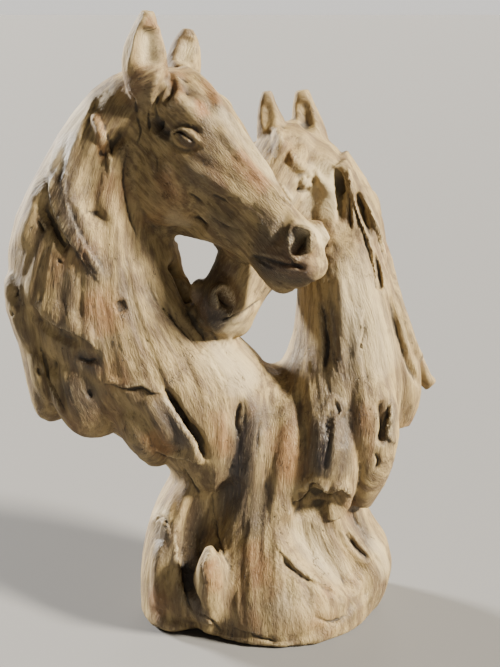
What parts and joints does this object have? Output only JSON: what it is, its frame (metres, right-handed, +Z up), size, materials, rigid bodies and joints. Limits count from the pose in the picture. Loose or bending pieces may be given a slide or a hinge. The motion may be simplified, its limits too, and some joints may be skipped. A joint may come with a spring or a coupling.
{
  "type": "statue",
  "caption": "Bust of a tall and a short horse nuzzling, their necks growing from one gnarled driftwood trunk, cast in one piece with a flat underside.",
  "frame": {"origin": "centre of the bounding box's bottom, on the surface that the statue stands on", "axes": "+Z up, the pictured side faces -Y, the taller horse is at -X and looks towards +X"},
  "size_m": [0.288, 0.1344, 0.4011],
  "materials": {
    "driftwood_cast": "matte cast resin painted as weathered driftwood, tan and cream with umber in the hollows"
  },
  "bodies": {
    "root": {"double_horse_head_statue": "driftwood_cast"}
  },
  "joints": []
}
